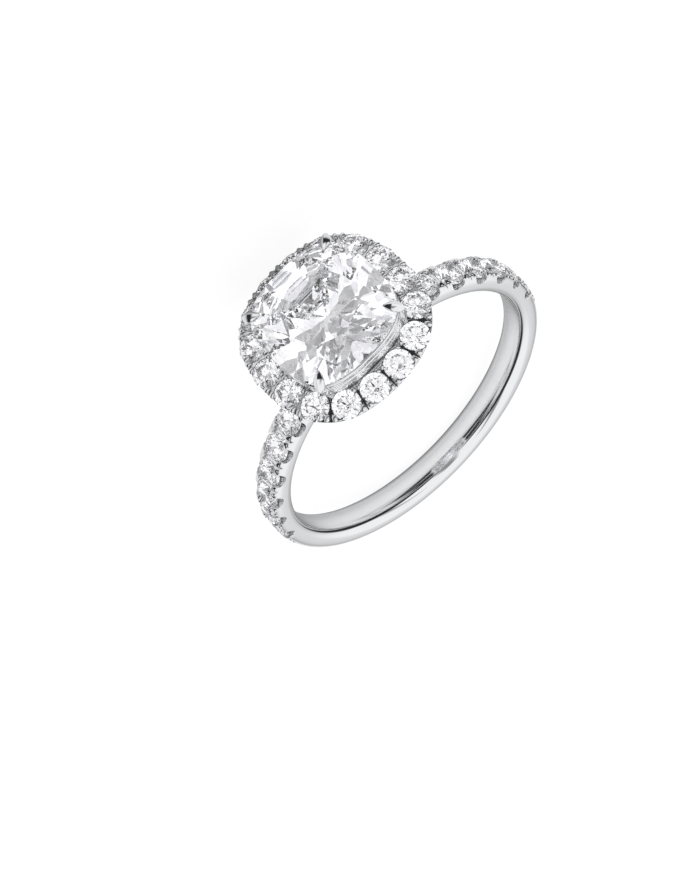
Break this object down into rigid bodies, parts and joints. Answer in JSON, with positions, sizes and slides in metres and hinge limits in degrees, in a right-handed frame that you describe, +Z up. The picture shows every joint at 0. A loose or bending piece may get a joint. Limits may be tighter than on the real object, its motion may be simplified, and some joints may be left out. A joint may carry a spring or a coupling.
{
  "type": "diamond ring",
  "caption": "Ring with a cushion cut centre stone in four claws, a halo of round brilliants, and stones on the shoulders of a polished shank.",
  "frame": {"origin": "on the surface the ring lies on, under the middle of its bounding box", "axes": "+Z up from that surface, +Y from the bottom of the shank towards the head, +X across the finger"},
  "size_m": [0.0194, 0.0246, 0.0102],
  "materials": {
    "polished_metal": "polished platinum",
    "centre_diamond": "cushion cut, colourless",
    "small_diamond": "round brilliant cut, colourless"
  },
  "bodies": {
    "root": {"ring_metal": "polished_metal", "centre_stone": "centre_diamond", "halo_stone_1": "small_diamond", "halo_stone_2": "small_diamond", "halo_stone_3": "small_diamond", "halo_stone_4": "small_diamond", "halo_stone_5": "small_diamond", "halo_stone_6": "small_diamond", "halo_stone_7": "small_diamond", "halo_stone_8": "small_diamond", "halo_stone_9": "small_diamond", "halo_stone_10": "small_diamond", "halo_stone_11": "small_diamond", "halo_stone_12": "small_diamond", "halo_stone_13": "small_diamond", "halo_stone_14": "small_diamond", "halo_stone_15": "small_diamond", "halo_stone_16": "small_diamond", "shoulder_stone_1": "small_diamond", "shoulder_stone_2": "small_diamond", "shoulder_stone_3": "small_diamond", "shoulder_stone_4": "small_diamond", "shoulder_stone_5": "small_diamond", "shoulder_stone_6": "small_diamond", "shoulder_stone_7": "small_diamond", "shoulder_stone_8": "small_diamond", "shoulder_stone_9": "small_diamond", "shoulder_stone_10": "small_diamond", "shoulder_stone_11": "small_diamond", "shoulder_stone_12": "small_diamond"}
  },
  "joints": []
}
